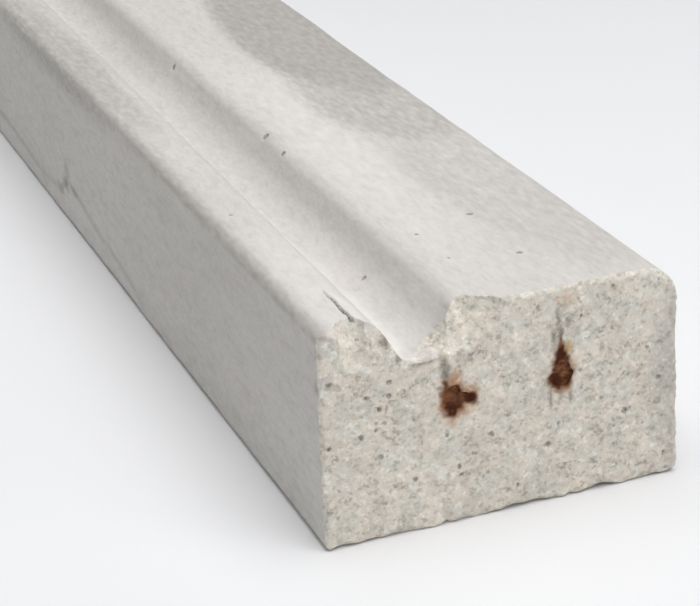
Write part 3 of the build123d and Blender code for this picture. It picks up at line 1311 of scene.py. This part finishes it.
def broken_colour(tree, spot, finish):
    """Sand and cement of a broken face. Returns its colour and height."""
    jitter = cloud_texture(tree, spot, *SAND_JITTER)["Color"]
    jitter = vector_maths(tree, "SUBTRACT", jitter, (0.5, 0.5, 0.5))[0]
    bend = {0: jitter, 1: SAND_BEND, 2: spot}
    bent = put(tree, "ShaderNodeVectorMath", bend, operation="MULTIPLY_ADD").outputs[0]
    small, small_away = grain_texture(tree, bent, SMALL_SAND)
    large = grain_texture(tree, bent, LARGE_SAND)[0]
    patches = cloud_texture(tree, spot, *SAND_CLOUDS)["Fac"]
    weights = ((small, SMALL_SAND_WEIGHT), (large, LARGE_SAND_WEIGHT), (patches, SAND_CLOUD_WEIGHT))
    tone = weigh(tree, *weights)
    dark = ramp(tree, tone, *DARK_SAND_RANGE)
    pale = ramp(tree, tone, *PALE_SAND_RANGE)
    colour = blend(tree, dark, opaque(finish.dark_grain), opaque(finish.cement))
    colour = blend(tree, pale, colour, opaque(finish.pale_grain))
    tints = ramp(tree, cloud_texture(tree, spot, *SAND_TINTS)["Fac"], *TINT_RANGE)
    tint = blend(tree, tints, opaque(COOL_TINT), opaque(WARM_TINT))
    colour = blend(tree, 1.0, colour, tint, "MULTIPLY")
    blotches = ramp(tree, cloud_texture(tree, spot, *SAND_BLOTCHES)["Fac"], *BLOTCH_RANGE)
    smudges = ramp(tree, cloud_texture(tree, spot, *SAND_SMUDGES)["Fac"], *SMUDGE_RANGE)
    shade = maths(tree, "MULTIPLY", blotches, smudges)
    shade = put(tree, "ShaderNodeCombineColor", {0: shade, 1: shade, 2: shade}).outputs[0]
    colour = blend(tree, 1.0, colour, shade, "MULTIPLY")
    height = maths(tree, "ADD", tone, maths(tree, "MULTIPLY", small_away, SAND_DOME))
    return colour, height


def finish_shader(tree, shader, colour, roughness, height, strength):
    """Gives the shader its colour, its roughness and its bump."""
    bump = put(tree, "ShaderNodeBump", {"Height": height, "Strength": strength, "Distance": BUMP_DEPTH})
    tree.links.new(colour, shader.inputs["Base Color"])
    tree.links.new(roughness, shader.inputs["Roughness"])
    tree.links.new(bump.outputs[0], shader.inputs["Normal"])


def concrete_material(finish):
    """Moulded skin and broken cement, with the stains, painted light and painted shade that the mesh carries.
    """
    material, tree, shader = new_material("Cast concrete")
    spot = put(tree, "ShaderNodeTexCoord").outputs["Object"]
    broken = put(tree, "ShaderNodeAttribute", attribute_name="broken").outputs["Fac"]
    drawn = vector_maths(tree, "MULTIPLY", spot, DRAWN_OUT)[0]
    skin, grain, mottles = skin_colour(tree, drawn, finish)
    cut, sand = broken_colour(tree, spot, finish)
    colour = blend(tree, broken, skin, cut)
    rust = rust_scale(tree, spot, finish)
    for name, speck in STAIN_SPECKS.items():
        layer = rust["Color"] if name == "rust" else opaque(getattr(finish, name))
        mask = stain_mask(tree, drawn if name in DRAWN_STAINS else spot, name, speck)
        colour = blend(tree, mask, colour, layer)
    roughness = ramp(tree, mottles, *CONCRETE_ROUGHNESS)
    height = weigh(tree, (grain, GRAIN_HEIGHT), (mottles, MOTTLE_HEIGHT), (broken, sand))
    finish_shader(tree, shader, colour, roughness, height, CONCRETE_BUMP)
    return material


def rust_material(finish):
    """Rust scale with the stains that the wires carry."""
    material, tree, shader = new_material("Rusted wire")
    spot = put(tree, "ShaderNodeTexCoord").outputs["Object"]
    rust = rust_scale(tree, spot, finish)
    colour = rust["Color"]
    for name, speck in WIRE_SPECKS.items():
        mask = stain_mask(tree, spot, name, speck)
        colour = blend(tree, mask, colour, opaque(getattr(finish, name)))
    roughness = ramp(tree, rust["Height"], *RUST_ROUGHNESS)
    finish_shader(tree, shader, colour, roughness, rust["Height"], RUST_BUMP)
    return material


# Operators

# Dirt and painted shade: strength of the dirt and painted shade in the crack, of the painted shadow along the
# mould's line, of the painted light on the strip below it, of the dirt and painted shade in blow holes and in
# lost grains, and the gain that fills a hole with it
CRACK_GRIME_AND_SHADE = 0.8
LINE_SHADOW = 0.3
STRIP_LIGHT = 0.25
HOLE_GRIME_AND_SHADE = 0.5
GRAIN_GRIME_AND_SHADE = 0.55
DIRT_AND_SHADE_GAIN = 1.6
# Stage, in metres: the round floor, and the place that the lamps look at
FLOOR_RADIUS = 8.0
FLOOR_SIDES = 96
FLOOR_ROUGHNESS = 0.9
LAMP_AIM = Vector((0, NEAR_END + 0.1, 0.03))
NEAREST_VIEW = 0.01


def hand_over(piece, node):
    """Puts a finished piece in its node's place."""
    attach(piece, BODY)
    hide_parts(node)


class LINTEL_OT_beam(bpy.types.Operator):
    """Casts the concrete, roughens it and breaks its edges"""

    bl_idname = "lintel.beam"
    bl_label = "Concrete beam"

    def execute(self, context):
        shape = context.scene.lintel_shape
        wear = context.scene.lintel_wear
        bm = bmesh.new()
        trace_section(bm, shape)
        fill_section(bm, shape)
        grid_section(bm, shape)
        run_out(bm, shape)
        refine_damage(bm, wear)
        bm.normal_update()
        bm.verts.index_update()
        broken = roughen(bm, wear)
        chip_ends(bm, vertex_tree(bm), broken)
        cover_wires(bm)
        bm.normal_update()
        layers = {name: [0.0] * len(bm.verts) for name in STAIN_SPECKS}
        spread_stains(vertex_tree(bm), STAINS, layers)
        # The mould's line gets painted shadow and the strip below it painted light.
        line, strip = mark_mould_line(bm, wear)
        crack = split_crack(bm, wear)
        # Dirt and painted shade in the crack, painted shadow along the mould's line and painted light on the
        # strip below it.
        dirt_light_and_shade = [("grime", crack, CRACK_GRIME_AND_SHADE), ("damp", line, LINE_SHADOW), ("bloom", strip, STRIP_LIGHT)]
        tree = vertex_tree(bm)
        # Dirt and painted shade in the holes and lost grains, darker the deeper they lie.
        for middle, radius in HOLES:
            size = radius * MM
            hole = dent(bm, tree, place_of(*middle), HOLE_WIDTH * size, HOLE_DEPTH * size)
            dirt_light_and_shade.append(("grime", hole, HOLE_GRIME_AND_SHADE))
        for across, up, radius in SPECKS:
            size = radius * MM
            hole = dent(bm, tree, place_of(across, 0, up), size, HOLE_DEPTH * size)
            dirt_light_and_shade.append(("grime", hole, GRAIN_GRIME_AND_SHADE))
        for name, shares, strength in dirt_light_and_shade:
            for index, share in shares.items():
                layers[name][index] = max(layers[name][index], strength * min(1.0, share * DIRT_AND_SHADE_GAIN))
        hold_inside(bm)
        piece = finish_mesh(bm, "lintel_concrete", concrete_material(context.scene.lintel_finish))
        store_layers(piece, {"broken": broken, **layers})
        hand_over(piece, "concrete_beam")
        return {"FINISHED"}


class LINTEL_OT_wires(bpy.types.Operator):
    """Draws the cast-in wires and rusts their ends"""

    bl_idname = "lintel.wires"
    bl_label = "Rusted wires"

    def execute(self, context):
        material = rust_material(context.scene.lintel_finish)
        for node in WIRE_NODES:
            bm = bmesh.new()
            near, far = draw_wire(bm, node, context.scene.lintel_shape)
            rust_wire(bm, node, near, far, context.scene.lintel_wear)
            hold_inside(bm)
            layers = {name: [0.0] * len(bm.verts) for name in WIRE_SPECKS}
            spread_stains(vertex_tree(bm), WIRE_STAINS, layers)
            piece = finish_mesh(bm, "rusted_" + node, material)
            store_layers(piece, layers)
            hand_over(piece, node)
        return {"FINISHED"}


class LINTEL_OT_stage(bpy.types.Operator):
    """Lays the floor, hangs the lights and sets the camera"""

    bl_idname = "lintel.stage"
    bl_label = "Stage"

    def execute(self, context):
        scene = context.scene
        stage = scene.lintel_stage
        scene.view_settings.view_transform = "Standard"
        material, _, shader = new_material("Pale floor")
        shader.inputs["Base Color"].default_value = opaque(stage.floor)
        shader.inputs["Roughness"].default_value = FLOOR_ROUGHNESS
        bm = bmesh.new()
        bmesh.ops.create_circle(bm, cap_ends=True, radius=FLOOR_RADIUS, segments=FLOOR_SIDES)
        floor = finish_mesh(bm, "floor", material)

        world = bpy.data.worlds.new("Soft surround")
        world.use_nodes = True
        background = world.node_tree.nodes["Background"]
        background.inputs["Strength"].default_value = stage.sky
        background.inputs["Color"].default_value = opaque(stage.sky_colour)
        scene.world = world

        for name, place, size in LAMPS:
            light = bpy.data.lights.new(name, "AREA")
            light.shape = "SQUARE"
            light.size = size
            light.energy = getattr(stage, name + "_power")
            lamp = bpy.data.objects.new(name, light)
            lamp.location = place
            lamp.rotation_euler = (LAMP_AIM - lamp.location).to_track_quat("-Z", "Y").to_euler()
            scene.collection.objects.link(lamp)

        camera = bpy.data.cameras.new("camera")
        camera.lens = stage.lens
        camera.clip_start = NEAREST_VIEW
        eye = bpy.data.objects.new("camera", camera)
        eye.location = Vector(stage.camera_place) + Vector((-scene.lintel_shape.width / 2, NEAR_END, 0))
        eye.rotation_euler = Euler(stage.camera_turn)
        scene.collection.objects.link(eye)
        scene.camera = eye
        return {"FINISHED"}


class LINTEL_PT_panel(bpy.types.Panel):
    """Lists the lintel's operators"""

    bl_idname = "LINTEL_PT_panel"
    bl_label = "Lintel"
    bl_space_type = "VIEW_3D"
    bl_region_type = "UI"
    bl_category = "Lintel"

    def draw(self, context):
        for operator in (LINTEL_OT_beam, LINTEL_OT_wires, LINTEL_OT_stage):
            self.layout.operator(operator.bl_idname)


SETTINGS = {
    "lintel_shape": BeamShape,
    "lintel_wear": BeamWear,
    "lintel_finish": Finish,
    "lintel_stage": Stage,
}
CLASSES = (*SETTINGS.values(), LINTEL_OT_beam, LINTEL_OT_wires, LINTEL_OT_stage, LINTEL_PT_panel)


def register():
    for cls in CLASSES:
        bpy.utils.register_class(cls)
    for name, group in SETTINGS.items():
        setattr(bpy.types.Scene, name, PointerProperty(type=group))


def unregister():
    for name in SETTINGS:
        delattr(bpy.types.Scene, name)
    for cls in reversed(CLASSES):
        bpy.utils.unregister_class(cls)


def main():
    register()
    bpy.ops.lintel.beam()
    bpy.ops.lintel.wires()
    bpy.ops.lintel.stage()


if __name__ == "__main__":
    main()
